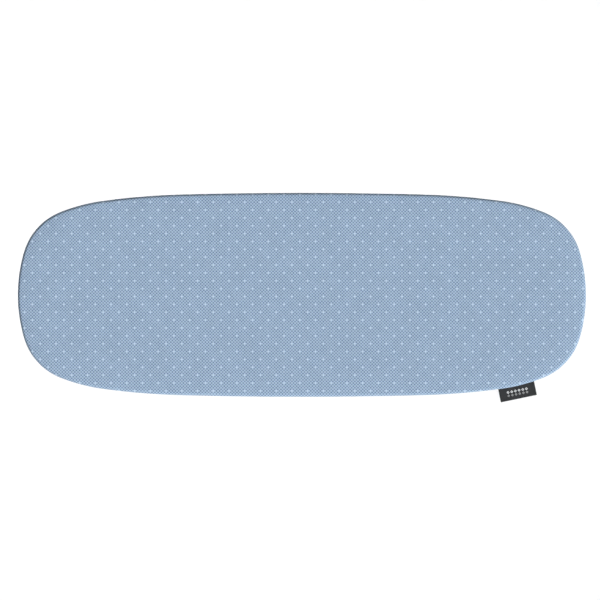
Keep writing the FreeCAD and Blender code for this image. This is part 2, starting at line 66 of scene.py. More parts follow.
# Headings, in degrees, where the outline's tangent arcs meet, and the radii of the arcs between
# the side's and the end's.
ARC_HEADINGS = [0.0, 1.5, 7.8, 22.0, 73.7, 90.0]
SHOULDER_RADII = [1.070, 0.258, 0.090]


def outline_arcs():
    """The +X +Y quarter as (centre x, centre y, radius, first heading, last heading)."""
    turns = [math.radians(h) for h in ARC_HEADINGS]
    runs = [
        (math.sin(last) - math.sin(first), math.cos(first) - math.cos(last))
        for first, last in zip(turns, turns[1:])
    ]
    left_x = HALF_LENGTH - sum(r * run[0] for r, run in zip(SHOULDER_RADII, runs[1:-1]))
    left_y = HALF_WIDTH - sum(r * run[1] for r, run in zip(SHOULDER_RADII, runs[1:-1]))
    (ax, ay), (bx, by) = runs[0], runs[-1]
    side = (left_x * by - left_y * bx) / (ax * by - ay * bx)
    end = (ax * left_y - ay * left_x) / (ax * by - ay * bx)
    x, y = 0.0, HALF_WIDTH
    arcs = []
    for radius, first, last in zip([side, *SHOULDER_RADII, end], turns, turns[1:]):
        cx, cy = x - radius * math.sin(first), y - radius * math.cos(first)
        arcs.append((cx, cy, radius, first, last))
        x, y = cx + radius * math.sin(last), cy + radius * math.cos(last)
    return arcs


def outline_stations(count):
    """Even places round the outline, clockwise from (0, +Y): (point, outward normal, arc radius)."""
    arcs = outline_arcs()
    lengths = [radius * (last - first) for _, _, radius, first, last in arcs]
    quarter = []
    for k in range(count // 4 + 1):
        along = sum(lengths) * k / (count // 4)
        for (cx, cy, radius, first, last), length in zip(arcs, lengths):
            if along <= length + 1e-9 or last == arcs[-1][4]:
                heading = min(first + along / radius, last)
                normal = Vector((math.sin(heading), math.cos(heading), 0))
                quarter.append((Vector((cx, cy, 0)) + normal * radius, normal, radius))
                break
            along -= length
    stations = []
    for flip_x, flip_y, backwards in ((1, 1, False), (1, -1, True), (-1, -1, False), (-1, 1, True)):
        run = quarter[::-1] if backwards else quarter
        flip = Vector((flip_x, flip_y, 1))
        stations += [(p * flip, n * flip, radius) for p, n, radius in run[:-1]]
    return stations


STATIONS = outline_stations(AROUND)
PERIMETER = sum((STATIONS[k][0] - STATIONS[k - 1][0]).length for k in range(AROUND))


# ---- mesh helpers -------------------------------------------------------------------------------
def mesh_object(name, vertices, faces, material, uvs=None, smooth=True):
    mesh = bpy.data.meshes.new(name)
    mesh.from_pydata([tuple(v) for v in vertices], [], faces)
    mesh.materials.append(material)
    if uvs is not None:
        layer = mesh.uv_layers.new(name="flat")
        for loop in mesh.loops:
            layer.data[loop.index].uv = uvs[loop.vertex_index]
    mesh.polygons.foreach_set("use_smooth", [smooth] * len(mesh.polygons))
    mesh.update()
    piece = bpy.data.objects.new(name, mesh)
    bpy.context.scene.collection.objects.link(piece)
    return piece


def band_faces(rows, count, start=0, joined=False):
    """Faces between rows of count points, each row closed. joined links the last row to the first."""
    faces = []
    for r in range(rows if joined else rows - 1):
        a, b = start + r * count, start + (r + 1) % rows * count
        for k in range(count):
            j = (k + 1) % count
            faces.append((a + k, a + j, b + j, b + k))
    return faces


def weld(piece, distance=1e-5):
    """Merges doubled points, such as those where a layer's two halves meet along its middle."""
    work = bmesh.new()
    work.from_mesh(piece.data)
    bmesh.ops.remove_doubles(work, verts=work.verts, dist=distance)
    bmesh.ops.dissolve_degenerate(work, edges=work.edges, dist=distance / 2)
    work.to_mesh(piece.data)
    work.free()


def thicken(piece, thickness, offset):
    modifier = piece.modifiers.new("Solidify", "SOLIDIFY")
    modifier.thickness, modifier.offset = thickness, offset


def ring(inset, z, flat_out=None, shift=None):
    """One row of points round the outline. flat_out is how far out the row lies on the flat cut."""
    points, flats = [], []
    out = -inset if flat_out is None else flat_out
    for k, (p, n, _) in enumerate(STATIONS):
        point = p - n * inset + Vector((0, 0, z))
        if shift is not None:
            point += shift(k, n)
        points.append(point)
        flats.append(tuple((p + n * out).xy))
    return points, flats


def middle_rows(inset, z_at, steps):
    """Rows that close a surface, from the ring at this inset in to the board's middle line."""
    reach = (HALF_LENGTH - HALF_WIDTH * MIDDLE_LINE_STOP) / HALF_LENGTH
    rows = []
    for step in range(1, steps + 1):
        share = 1 - step / steps
        points = []
        for p, n, _ in STATIONS:
            rim = p - n * inset
            spine = Vector((rim.x * reach, 0, 0))
            point = spine.lerp(rim, share)
            points.append(Vector((point.x, point.y, z_at(point.x, point.y))))
        rows.append((points, [tuple(q.xy) for q in points]))
    return rows


def loft(name, rows, material):
    """A surface over successive rows of points, each closed round the board."""
    vertices = [p for points, _ in rows for p in points]
    uvs = [uv for _, flats in rows for uv in flats]
    faces = band_faces(len(rows), AROUND)
    piece = mesh_object(name, vertices, faces, material, uvs)
    weld(piece)
    return piece


# ---- material helpers ---------------------------------------------------------------------------
# The Mix node's own sockets for colours.
MIX_A, MIX_B, MIX_RESULT = 6, 7, 2


class Shader:
    """A material on one Principled node, with short calls for its other nodes."""

    def __init__(self, name, color, roughness, **sockets):
        self.material = bpy.data.materials.new(name)
        self.material.use_nodes = True
        self.tree = self.material.node_tree
        self.bsdf = self.tree.nodes["Principled BSDF"]
        self.bsdf.inputs["Base Color"].default_value = (*color, 1)
        self.bsdf.inputs["Roughness"].default_value = roughness
        for key, value in sockets.items():
            self.bsdf.inputs[key.replace("_", " ")].default_value = value
        self.last_normal = None

    def node(self, kind, inputs=None, **settings):
        made = self.tree.nodes.new("ShaderNode" + kind)
        for key, value in settings.items():
            setattr(made, key, value)
        for key, value in (inputs or {}).items():
            self.feed(made.inputs[key], value)
        return made

    def feed(self, socket, value):
        if isinstance(value, bpy.types.NodeSocket):
            self.tree.links.new(value, socket)
        else:
            socket.default_value = value

    def math(self, operation, a, b=0.0, c=0.0):
        return self.node("Math", {0: a, 1: b, 2: c}, operation=operation).outputs[0]

    def space(self):
        return self.node("TexCoord").outputs["Object"]

    def flat(self):
        return self.node("UVMap", uv_map="flat").outputs["UV"]

    def noise(self, scale, detail=3.0, vector=None, stretch=None):
        vector = vector or self.space()
        if stretch is not None:
            vector = self.node("Mapping", {"Vector": vector, "Scale": stretch}).outputs[0]
        made = self.node("TexNoise", {"Vector": vector, "Scale": scale, "Detail": detail})
        return made.outputs["Fac"]

    def ramp(self, value, low, high, to_low=0.0, to_high=1.0):
        limits = {"From Min": low, "From Max": high, "To Min": to_low, "To Max": to_high}
        made = self.node("MapRange", {"Value": value, **limits}, interpolation_type="SMOOTHSTEP")
        return made.outputs["Result"]

    def mix(self, share, a, b, blend="MIX"):
        made = self.node("Mix", data_type="RGBA", blend_type=blend)
        self.feed(made.inputs[0], share)
        for slot, value in ((MIX_A, a), (MIX_B, b)):
            linked = isinstance(value, bpy.types.NodeSocket)
            self.feed(made.inputs[slot], value if linked else (*value, 1))
        return made.outputs[MIX_RESULT]

    def shaded(self, color, tone):
        """The colour, made darker or lighter by the factor tone."""
        gray = self.node("CombineColor", {0: tone, 1: tone, 2: tone}).outputs[0]
        return self.mix(1.0, color, gray, "MULTIPLY")

    def color(self, value):
        self.feed(self.bsdf.inputs["Base Color"], value)

    def roughness(self, value):
        self.feed(self.bsdf.inputs["Roughness"], value)

    def bump(self, height, distance, strength=1.0):
        made = self.node("Bump", {"Height": height, "Distance": distance, "Strength": strength})
        if self.last_normal is not None:
            self.tree.links.new(self.last_normal, made.inputs["Normal"])
        self.last_normal = made.outputs["Normal"]
        self.tree.links.new(self.last_normal, self.bsdf.inputs["Normal"])

    def soft_edges(self, radius):
        """Rounds the look of hard pressed or moulded edges."""
        made = self.node("Bevel", {"Radius": radius}, samples=4)
        self.last_normal = made.outputs["Normal"]
        self.tree.links.new(self.last_normal, self.bsdf.inputs["Normal"])


# ---- materials ----------------------------------------------------------------------------------
# The print: dark spots on a lattice turned 45 degrees, with a pale dot at every fifth place.
PRINT_PITCH = 3.25 * MM
PRINT_ORIGIN = (8.4 * MM, -2.4 * MM)
DOT_EVERY = 5
# Radii where a spot or dot starts to fade and where it ends, how far they wander, and the palest ink.
SPOT_FADE = (0.96 * MM, 1.38 * MM)
DOT_FADE = (1.05 * MM, 1.50 * MM)
PRINT_WANDER = 0.25 * MM
PALEST_INK = 0.78
CLOTH_GROUND = (0.414, 0.558, 0.726)
CLOTH_SPOT = (0.107, 0.182, 0.323)
CLOTH_DOT = (0.53, 0.66, 0.79)
THREAD = 0.42 * MM


def lattice(shader, flat):
    """Distance to the nearest place of the print's diagonal lattice, and that place's indices."""
    split = shader.node("SeparateXYZ", {0: flat})
    x = shader.math("SUBTRACT", split.outputs[0], PRINT_ORIGIN[0])
    y = shader.math("SUBTRACT", split.outputs[1], PRINT_ORIGIN[1])
    scale = 1 / (math.sqrt(2) * PRINT_PITCH)
    across = shader.math("MULTIPLY", shader.math("ADD", x, y), scale)
    along = shader.math("MULTIPLY", shader.math("SUBTRACT", x, y), scale)
    cells = [shader.math("ROUND", value) for value in (across, along)]
    offsets = [shader.math("SUBTRACT", value, cell) for value, cell in zip((across, along), cells)]
    squares = [shader.math("MULTIPLY", offset, offset) for offset in offsets]
    distance = shader.math("SQRT", shader.math("ADD", *squares))
    return shader.math("MULTIPLY", distance, PRINT_PITCH), cells


def every_nth(shader, cell, n):
    """1 where the cell index is a multiple of n."""
    left = shader.math("ABSOLUTE", shader.math("WRAP", cell, n - 0.5, -0.5))
    return shader.math("LESS_THAN", left, 0.25)


def weave_height(shader, flat):
    """Plain weave: warp and weft threads that pass over each other in turn."""
    split = shader.node("SeparateXYZ", {0: flat})
    turns = [shader.math("MULTIPLY", split.outputs[k], math.pi / THREAD) for k in (0, 1)]
    waves = [shader.math("SINE", turn) for turn in turns]
    over = shader.math("MULTIPLY", *waves)
    threads = [shader.math("ABSOLUTE", wave) for wave in waves]
    warp = shader.math("MULTIPLY", threads[0], shader.math("ADD", over, 1.0))
    weft = shader.math("MULTIPLY", threads[1], shader.math("SUBTRACT", 1.0, over))
    return shader.math("MULTIPLY", shader.math("ADD", warp, weft), 0.5)


def cloth_material():
    s = Shader("printed_cotton", CLOTH_GROUND, 0.86, Sheen_Weight=0.12, Sheen_Roughness=0.45)
    flat = s.flat()
    distance, cells = lattice(s, flat)
    wander = s.math("MULTIPLY", s.math("SUBTRACT", s.noise(900.0, 2.0, flat), 0.5), PRINT_WANDER)
    distance = s.math("ADD", distance, wander)
    is_dot = s.math("MULTIPLY", *[every_nth(s, cell, DOT_EVERY) for cell in cells])
    spot = s.math("SUBTRACT", 1.0, s.ramp(distance, *SPOT_FADE))
    dot = s.math("SUBTRACT", 1.0, s.ramp(distance, *DOT_FADE))
    deep, pale = (tuple(c * change for c in CLOTH_GROUND) for change in (0.975, 1.025))
    ground = s.mix(s.ramp(s.noise(35.0, 4.0, flat), 0.35, 0.65), pale, deep)
    cell = s.node("CombineXYZ", {0: cells[0], 1: cells[1]}).outputs[0]
    ink = s.node("TexWhiteNoise", {"Vector": cell}, noise_dimensions="2D").outputs["Value"]
    spot = s.math("MULTIPLY", spot, s.ramp(ink, 0.0, 1.0, PALEST_INK, 1.0))
    color = s.mix(s.math("MULTIPLY", spot, s.math("SUBTRACT", 1.0, is_dot)), ground, CLOTH_SPOT)
    color = s.mix(s.math("MULTIPLY", dot, is_dot), color, CLOTH_DOT)
    weave = weave_height(s, flat)
    # Painted shade: the threads' colour is darker where they dip under each other, as shade falls
    # there.
    shade = s.ramp(weave, 0.1, 0.9, 0.86, 1.06)
    slub = s.ramp(s.noise(240.0, 3.0, flat, (1.0, 9.0, 1.0)), 0.3, 0.7, 0.97, 1.03)
    s.color(s.shaded(color, s.math("MULTIPLY", shade, slub)))
    s.roughness(s.ramp(weave, 0.0, 1.0, 0.92, 0.80))
    s.bump(s.noise(60.0, 3.0, flat), 0.5 * MM, 0.25)
    s.bump(weave, 0.10 * MM, 0.6)
    return s.material


def felt_material():
    s = Shader("needled_felt", (0.36, 0.35, 0.32), 0.97, Sheen_Weight=0.3, Sheen_Roughness=0.6)
    fibres = s.noise(1500.0, 5.0, None, (1.0, 0.25, 1.0))
    cross = s.noise(1500.0, 5.0, None, (0.25, 1.0, 1.0))
    both = s.math("MAXIMUM", fibres, cross)
    s.color(s.mix(s.ramp(both, 0.45, 0.72), (0.27, 0.26, 0.24), (0.47, 0.46, 0.43)))
    s.bump(both, 0.35 * MM, 0.8)
    return s.material


def foam_material():
    s = Shader("open_cell_foam", (0.84, 0.80, 0.68), 0.95, Subsurface_Weight=0.1)
    pores = s.node("TexVoronoi", {"Vector": s.space(), "Scale": 900.0}).outputs["Distance"]
    # Painted shade: the colour is darker in the pores' hollows.
    s.color(s.mix(s.ramp(pores, 0.1, 0.6), (0.66, 0.62, 0.52), (0.88, 0.85, 0.74)))
    s.bump(pores, 0.4 * MM, 0.9)
    return s.material


def elastic_material():
    s = Shader("braided_elastic", (0.82, 0.82, 0.80), 0.7, Sheen_Weight=0.1)
    rib = s.math("ABSOLUTE", s.math("SUBTRACT", s.noise(1100.0, 1.0), 0.5))
    # Painted shade: the colour is darker in the grooves between the ribs.
    s.color(s.mix(s.ramp(rib, 0.0, 0.2), (0.62, 0.62, 0.60), (0.86, 0.86, 0.84)))
    s.bump(rib, 0.3 * MM, 0.8)
    return s.material


def thread_material(name, color):
    s = Shader(name, color, 0.55, Sheen_Weight=0.15)
    twist = s.noise(2600.0, 2.0)
    darker = tuple(c * 0.7 for c in color)
    s.color(s.mix(s.ramp(twist, 0.35, 0.65), darker, color))
    s.bump(twist, 0.12 * MM, 0.7)
    return s.material


def powder_coat(name, color, metallic=0.0, roughness=0.42):
    """Baked powder paint: orange peel, a slightly cloudy colour and softened pressed edges."""
    s = Shader(name, color, roughness, Metallic=metallic, Coat_Weight=0.12, Coat_Roughness=0.3)
    cloud = s.ramp(s.noise(18.0, 4.0), 0.3, 0.7)
    s.color(s.mix(cloud, tuple(c * 0.94 for c in color), tuple(min(1.0, c * 1.04) for c in color)))
    s.roughness(s.ramp(s.noise(70.0, 5.0), 0.3, 0.7, roughness - 0.06, roughness + 0.10))
    s.soft_edges(0.5 * MM)
    s.bump(s.noise(900.0, 2.0), 0.06 * MM, 0.35)
    return s.material


def zinc_material():
    s = Shader("bright_zinc", (0.66, 0.66, 0.64), 0.34, Metallic=1.0)
    patches = s.node("TexVoronoi", {"Vector": s.space(), "Scale": 420.0}).outputs["Color"]
    tone = s.node("SeparateColor", {0: patches}).outputs[0]
    s.color(s.mix(tone, (0.58, 0.59, 0.58), (0.74, 0.73, 0.69)))
    s.roughness(s.ramp(s.noise(300.0, 4.0), 0.3, 0.7, 0.26, 0.46))
    s.soft_edges(0.3 * MM)
    s.bump(s.noise(1800.0, 3.0), 0.02 * MM, 0.4)
    return s.material


def moulded_plastic(name, color, roughness):
    """Injection-moulded plastic with a spark-eroded grain."""
    s = Shader(name, color, roughness)
    s.color(s.mix(s.ramp(s.noise(40.0, 3.0), 0.3, 0.7), tuple(c * 0.92 for c in color), color))
    s.roughness(s.ramp(s.noise(500.0, 4.0), 0.3, 0.7, roughness - 0.08, roughness + 0.08))
    s.soft_edges(0.5 * MM)
    s.bump(s.noise(2600.0, 3.0), 0.04 * MM, 0.5)
    return s.material


def rubber_material():
    s = Shader("soft_rubber", (0.022, 0.022, 0.024), 0.78)
    bloom = s.ramp(s.noise(120.0, 5.0), 0.45, 0.8)
    s.color(s.mix(bloom, (0.018, 0.018, 0.020), (0.042, 0.041, 0.040)))
    s.roughness(s.ramp(s.noise(260.0, 4.0), 0.3, 0.7, 0.70, 0.88))
    s.soft_edges(0.6 * MM)
    s.bump(s.noise(1500.0, 4.0), 0.08 * MM, 0.5)
    return s.material


# The side label is one ribbon folded in half, and its inner end lies under the hem.
LABEL_LAYER_T = 0.28 * MM
LABEL_UNDER = 9.0 * MM
# Its motif: the stretch of the ribbon that it fills, the step of its columns, and for each row the
# distance from the hem's edge, the half size of a diamond and the colour. The first row is the printed
# diamonds, and the second, dimmer row is a painted reflection of them.
LABEL_MOTIF = (10.5 * MM, 43.5 * MM)
LABEL_STEP = 5.5 * MM
LABEL_PRINT_AND_REFLECTION_ROWS = (
    (7.2 * MM, 2.1 * MM, (0.78, 0.78, 0.77)),
    (12.2 * MM, 1.9 * MM, (0.36, 0.36, 0.36)),
)
DIAMOND_BLUR = 0.15 * MM
DIAMOND_HOLE, HOLE_BLUR = 0.38, 0.2 * MM
LABEL_RIB, LABEL_PICK = 0.30 * MM, 0.22 * MM


def label_material():
    """Charcoal woven ribbon with two rows of diamonds: the inner row printed, the outer, dimmer row a
    painted reflection of it.
    """
    s = Shader("woven_label", (0.0255, 0.0265, 0.0275), 0.85, Specular_IOR_Level=0.25)
    flat = s.flat()
    split = s.node("SeparateXYZ", {0: flat})
    u, v = split.outputs[0], split.outputs[1]
    start, end = LABEL_MOTIF
    column = s.math("FRACT", s.math("MULTIPLY", s.math("SUBTRACT", u, start), 1 / LABEL_STEP))
    across = s.math("MULTIPLY", s.math("SUBTRACT", column, 0.5), LABEL_STEP)
    across = s.math("ABSOLUTE", across)
    inside = s.math("MULTIPLY", s.math("GREATER_THAN", u, start), s.math("LESS_THAN", u, end))
    cloud = s.ramp(s.noise(90.0, 3.0, flat), 0.3, 0.7)
    color = s.mix(cloud, (0.0230, 0.0240, 0.0250), (0.0295, 0.0305, 0.0315))
    # The second row's colour is a painted reflection of the first row, not ink.
    for centre, size, ink in LABEL_PRINT_AND_REFLECTION_ROWS:
        along = s.math("ABSOLUTE", s.math("SUBTRACT", v, centre))
        reach = s.math("ADD", across, along)
        solid = s.math("SUBTRACT", 1.0, s.ramp(reach, size - DIAMOND_BLUR, size + DIAMOND_BLUR))
        hole = s.ramp(reach, size * DIAMOND_HOLE, size * DIAMOND_HOLE + HOLE_BLUR)
        color = s.mix(s.math("MULTIPLY", s.math("MULTIPLY", solid, hole), inside), color, ink)
    ribs = s.math("ABSOLUTE", s.math("SINE", s.math("MULTIPLY", v, math.pi / LABEL_RIB)))
    picks = s.math("ABSOLUTE", s.math("SINE", s.math("MULTIPLY", u, math.pi / LABEL_PICK)))
    weave = s.math("MULTIPLY", s.math("ADD", ribs, picks), 0.5)
    # Painted shade: the ribbon's colour is darker where its ribs and picks dip.
    s.color(s.shaded(color, s.ramp(weave, 0.2, 0.9, 0.82, 1.08)))
    s.bump(weave, 0.06 * MM, 0.6)
    return s.material


CLOTH = cloth_material()
FELT = felt_material()
FOAM = foam_material()
DECK_PAINT = powder_coat("deck_powder_coat", (0.68, 0.69, 0.70))
FRAME_PAINT = powder_coat("frame_powder_coat", (0.56, 0.57, 0.58))
LEG_PAINT = powder_coat("leg_powder_coat", (0.62, 0.63, 0.64), metallic=0.55, roughness=0.36)
ZINC = zinc_material()
NYLON = moulded_plastic("natural_nylon", (0.80, 0.79, 0.74), 0.42)
DARK_PLASTIC = moulded_plastic("charcoal_plastic", (0.040, 0.043, 0.047), 0.48)
RUBBER = rubber_material()
WHITE_THREAD = thread_material("white_thread", (0.84, 0.85, 0.85))

FINISHES = {
    "hem_elastic": elastic_material(),
    "deck_panel": DECK_PAINT,
    "rim_channel": DECK_PAINT,
    "spine_channel": FRAME_PAINT,
    "cross_rail": FRAME_PAINT,
    "leg_bracket": FRAME_PAINT,
    "leg_tube": LEG_PAINT,
    "leg_brace": LEG_PAINT,
    "bracket_rivets": ZINC,
    "catch_screws": ZINC,
    "pivot_pins": ZINC,
    "pivot_bushes": NYLON,
    "friction_washers": NYLON,
    "catch_washers": NYLON,
    "leg_plugs": DARK_PLASTIC,
    "storage_catch": DARK_PLASTIC,
    "foot": RUBBER,
    "stop_pads": RUBBER,
}


def finish_cad_nodes():
    for name, node in NODES.items():
        for start, material in FINISHES.items():
            if name.startswith(start):
                for place in node.material_slots:
                    place.material = material


# ---- cover --------------------------------------------------------------------------------------
CLOTH_T = 0.7 * MM
# The top is this much higher at its middle, and uneven by UNEVEN at UNEVEN_PER_M places a metre.
CROWN = 0.35 * MM
UNEVEN, UNEVEN_PER_M = 0.10 * MM, 14
TOP_ROWS = 5
# The edge: a roll, a wall that bulges a little, and a turn under the rim.
ROLL_R, ROLL_STEPS = 4.3 * MM, 7
WALL_INSET = 0.25 * MM
WALL_BULGE, WALL_STEPS = 0.25 * MM, 4
ROLL_IN = WALL_INSET + ROLL_R
HEM_TURN_R, HEM_TURN_ROWS = 3.0 * MM, 5
# The hem under the rim, up to the seam that draws it in.
HEM_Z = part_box("rim_channel")[0].z - 0.5 * MM
HEM_ROWS = 10
SEAM_INSET = 21.5 * MM
# The elastic's tunnel, from the seam round to the free edge: its shape, and how much of the gathers'
# depth shows in its near and its far half and sideways.
TUNNEL_LOW = COVER_LOW.z
TUNNEL_IN = 29.5 * MM
TUNNEL_TURN, TUNNEL_STEPS = 250, 9
TUNNEL_DROP, TUNNEL_SWELL = 0.9, 0.95
TUNNEL_FOLDS = (0.9, 0.7, 0.15)
# The gathers: limits of the spare cloth, as a share, and the length of one fold. Noise moves the folds
# by (turn, waves round the board).
LEAST_SPARE, MOST_SPARE = 0.05, 0.35
FOLD_LENGTH = 11.0 * MM
FOLD_DRIFTS = ((4.4, 14.0), (2.0, 37.0))
# Noise makes them uneven too: the middle of its factor, its reach, and its waves and place.
DEPTH_MIDDLE, DEPTH_REACH, DEPTH_WAVES, DEPTH_PLACE = 0.75, 0.5, 22.0, Vector((3.1, 0, 0))
# Their share of full depth at the end of the hem's turn, and how it grows from there to the seam.
TURN_FOLDS, HEM_FOLDS, HEM_FOLDS_POWER = 0.10, 0.80, 1.3
# The hem's cloth simulation.
SIM_SCALE = 20.0
SIM_FRAMES = 24
SIM_GRAVITY = 0.3
SIM_CLOTH = {
    "quality": 6,
    "mass": 0.25,
    "tension_stiffness": 20.0,
    "compression_stiffness": 20.0,
    "shear_stiffness": 6.0,
    "bending_stiffness": 0.3,
    "air_damping": 2.0,
    "shrink_min": -0.07,
}


def label_frame():
    """The label's inner left corner, its directions along the edge and outward, and its size."""
    corners = [v.co for v in NODES["side_label"].data.vertices]
    outer_right = max(corners, key=lambda c: c.x)
    outer_left = min(corners, key=lambda c: c.y)
    inner_left = min(corners, key=lambda c: c.x)
    along, outward = outer_right - outer_left, outer_left - inner_left
    for direction in (along, outward):
        direction.z = 0
    return inner_left, along.normalized(), outward.normalized(), along.length, outward.length


LABEL_FRAME = label_frame()
LABEL_EASE = 6.0 * MM


def smoothed(values, width):
    """Running mean round the board over width places to each side."""
    count = len(values)
    spans = range(-width, width + 1)
    return [sum(values[(k + d) % count] for d in spans) / len(spans) for k in range(count)]


def spare_cloth(radius):
    """Share by which the cut edge is longer than the seam, where the outline has this radius."""
    cut_out = TOP - HEM_Z + SEAM_INSET
    spare = (radius + cut_out) / (radius - SEAM_INSET) - 1
    return min(max(spare, LEAST_SPARE), MOST_SPARE)


def fold_depths():
    """Depth of the gathers round the seam: their wave takes up the spare cloth there."""
    spare = smoothed([spare_cloth(radius) for _, _, radius in STATIONS], AROUND // 40)
    folds = round(PERIMETER / FOLD_LENGTH)
    depths = []
    for k in range(AROUND):
        angle = 2 * math.pi * k / AROUND
        place = Vector((math.cos(angle), math.sin(angle), 0.0))
        drift = sum(turn * noise.noise(place * waves) for turn, waves in FOLD_DRIFTS)
        wave = 0.5 + 0.5 * math.sin(angle * folds + drift)
        uneven = DEPTH_MIDDLE + DEPTH_REACH * noise.noise(place * DEPTH_WAVES + DEPTH_PLACE)
        depths.append(2 * FOLD_LENGTH / math.pi * math.sqrt(spare[k]) * wave * uneven)
    return depths


FOLDS = fold_depths()


def top_height(x, y):
    """The padded top is very slightly crowned and uneven."""
    crown = CROWN * (1 - (x / HALF_LENGTH) ** 2) * (1 - (y / HALF_WIDTH) ** 2)
    soft = UNEVEN * noise.noise(Vector((x * UNEVEN_PER_M, y * UNEVEN_PER_M, 0)))
    return TOP - CROWN + crown + soft


def hem_shift(weight, inward=0.0):
    """Moves a hem row down by weight, and in by inward, times the depth of the gathers there."""

    def shift(k, normal):
        return Vector((0, 0, -FOLDS[k] * weight)) - normal * (FOLDS[k] * inward)

    return shift


def settle(band):
    """Lets the cloth solver settle, in place, a band of rows whose first two and last are held.

    The band is solved at SIM_SCALE times its size, as the solver is made for garments, and grows a
    little all over. What was level with the rim's underside or lower stays so, as the rim holds it.
    """
    count = len(band[0][0])
    vertices = [p * SIM_SCALE for points, _ in band for p in points]
    piece = mesh_object("hem_in_solver", vertices, band_faces(len(band), count), CLOTH)
    held = piece.vertex_groups.new(name="held")
    last = (len(band) - 1) * count
    held.add([*range(2 * count), *range(last, last + count)], 1.0, "REPLACE")
    cloth = piece.modifiers.new("Cloth", "CLOTH")
    cloth.settings.vertex_group_mass = "held"
    for key, value in SIM_CLOTH.items():
        setattr(cloth.settings, key, value)
    cloth.settings.effector_weights.gravity = SIM_GRAVITY
    cloth.point_cache.frame_start, cloth.point_cache.frame_end = 1, SIM_FRAMES
    scene = bpy.context.scene
    for frame_number in range(1, SIM_FRAMES + 1):
        scene.frame_set(frame_number)
    solved = piece.evaluated_get(bpy.context.evaluated_depsgraph_get()).to_mesh()
    for r, (points, _) in enumerate(band):
        for k in range(count):
            point = solved.vertices[r * count + k].co / SIM_SCALE
            if points[k].z <= HEM_Z:
                point.z = min(point.z, HEM_Z)
            points[k] = point
    scene.frame_set(1)
    bpy.data.objects.remove(piece)


def lay_flat_over_label(points):
    """The label's stitches hold the hem flat over it. The gathers start again LABEL_EASE away."""
    corner, along, outward, width, depth = LABEL_FRAME
    for point in points:
        from_corner = point - corner
        u, v = from_corner.dot(along), from_corner.dot(outward)
        away = math.hypot(max(-u, u - width, 0.0), max(-v, v - depth, 0.0))
        free = min(1.0, away / LABEL_EASE)
        point.z = HEM_Z + (point.z - HEM_Z) * free * free * (3 - 2 * free)


def cover_rows():
    """Rows of the cover, from its top's edge round to its free edge, and the seam row's index."""
    rows = []
    flat_out = -ROLL_IN
    previous = None

    def add(inset, z, shift=None):
        nonlocal flat_out, previous
        if previous is not None:
            flat_out += math.hypot(inset - previous[0], z - previous[1])
        previous = (inset, z)
        rows.append(ring(inset, z, flat_out, shift))

    top_edge = TOP - CROWN
    for step in range(ROLL_STEPS + 1):
        turn = math.radians(90 * step / ROLL_STEPS)
        add(ROLL_IN - ROLL_R * math.sin(turn), top_edge - ROLL_R * (1 - math.cos(turn)))
    wall_top, wall_low = top_edge - ROLL_R, HEM_Z + HEM_TURN_R
    for step in range(1, WALL_STEPS):
        share = step / WALL_STEPS
        bulge = WALL_BULGE * math.sin(math.pi * share)
        add(WALL_INSET - bulge, wall_top + (wall_low - wall_top) * share)
    for step in range(HEM_TURN_ROWS):
        share = step / (HEM_TURN_ROWS - 1)
        turn = math.radians(90 * share)
        inset = WALL_INSET + HEM_TURN_R * (1 - math.cos(turn))
        add(inset, HEM_Z + HEM_TURN_R * (1 - math.sin(turn)), hem_shift(TURN_FOLDS * share))
    hem_start = WALL_INSET + HEM_TURN_R
    for step in range(1, HEM_ROWS + 1):
        share = step / HEM_ROWS
        inset = hem_start + (SEAM_INSET - hem_start) * share
        add(inset, HEM_Z, hem_shift(TURN_FOLDS + HEM_FOLDS * share**HEM_FOLDS_POWER))
    settle(rows[-HEM_ROWS - HEM_TURN_ROWS :])
    for points, _ in rows[-HEM_ROWS:]:
        lay_flat_over_label(points)
    seam_row = len(rows) - 1
    middle = (SEAM_INSET + TUNNEL_IN) / 2
    half = (TUNNEL_IN - SEAM_INSET) / 2
    rise = (HEM_Z - TUNNEL_LOW) / 2
    near, far, inward = TUNNEL_FOLDS
    for step in range(1, TUNNEL_STEPS + 1):
        turn = math.radians(TUNNEL_TURN * step / TUNNEL_STEPS)
        inset = middle - half * math.cos(turn)
        z = HEM_Z - rise * TUNNEL_DROP - rise * math.sin(turn) * TUNNEL_SWELL
        add(inset, z, hem_shift(near if turn < math.pi / 2 else far, inward))
    return rows, seam_row


def make_cover(rows):
    top = middle_rows(ROLL_IN, top_height, TOP_ROWS)
    piece = loft("cover_cloth_shell", [*top[::-1], *rows], CLOTH)
    thicken(piece, CLOTH_T, offset=-1)
    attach(piece, "board")
    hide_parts("cover")


# ---- pads ---------------------------------------------------------------------------------------
PAD_ROWS = 6
FELT_SOFT, FELT_BEND = 0.8 * MM, 0.3
FOAM_PRESSED = 1.2 * MM
FOAM_EDGE_R, FOAM_EDGE_STEPS = 3.2 * MM, 6
FOAM_LEAN = 0.4 * MM


def make_felt():
    """A flat sheet whose cut edges are a little soft."""
    low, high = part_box("felt_underlay")
    inset = HALF_LENGTH - high.x
    z0, z1 = low.z, high.z
    bend = FELT_SOFT * FELT_BEND
    edge = [(FELT_SOFT, 0.0), (bend, bend), (0.0, FELT_SOFT)]
    rows = [ring(inset + back, z1 - down) for back, down in edge]
    rows += [ring(inset + back, z0 + up) for back, up in edge[::-1]]
    top = middle_rows(inset + FELT_SOFT, lambda x, y: z1, PAD_ROWS)
    bottom = middle_rows(inset + FELT_SOFT, lambda x, y: z0, PAD_ROWS)
    piece = loft("felt_sheet", [*top[::-1], *rows, *bottom], FELT)
    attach(piece, "board")
    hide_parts("felt_underlay")


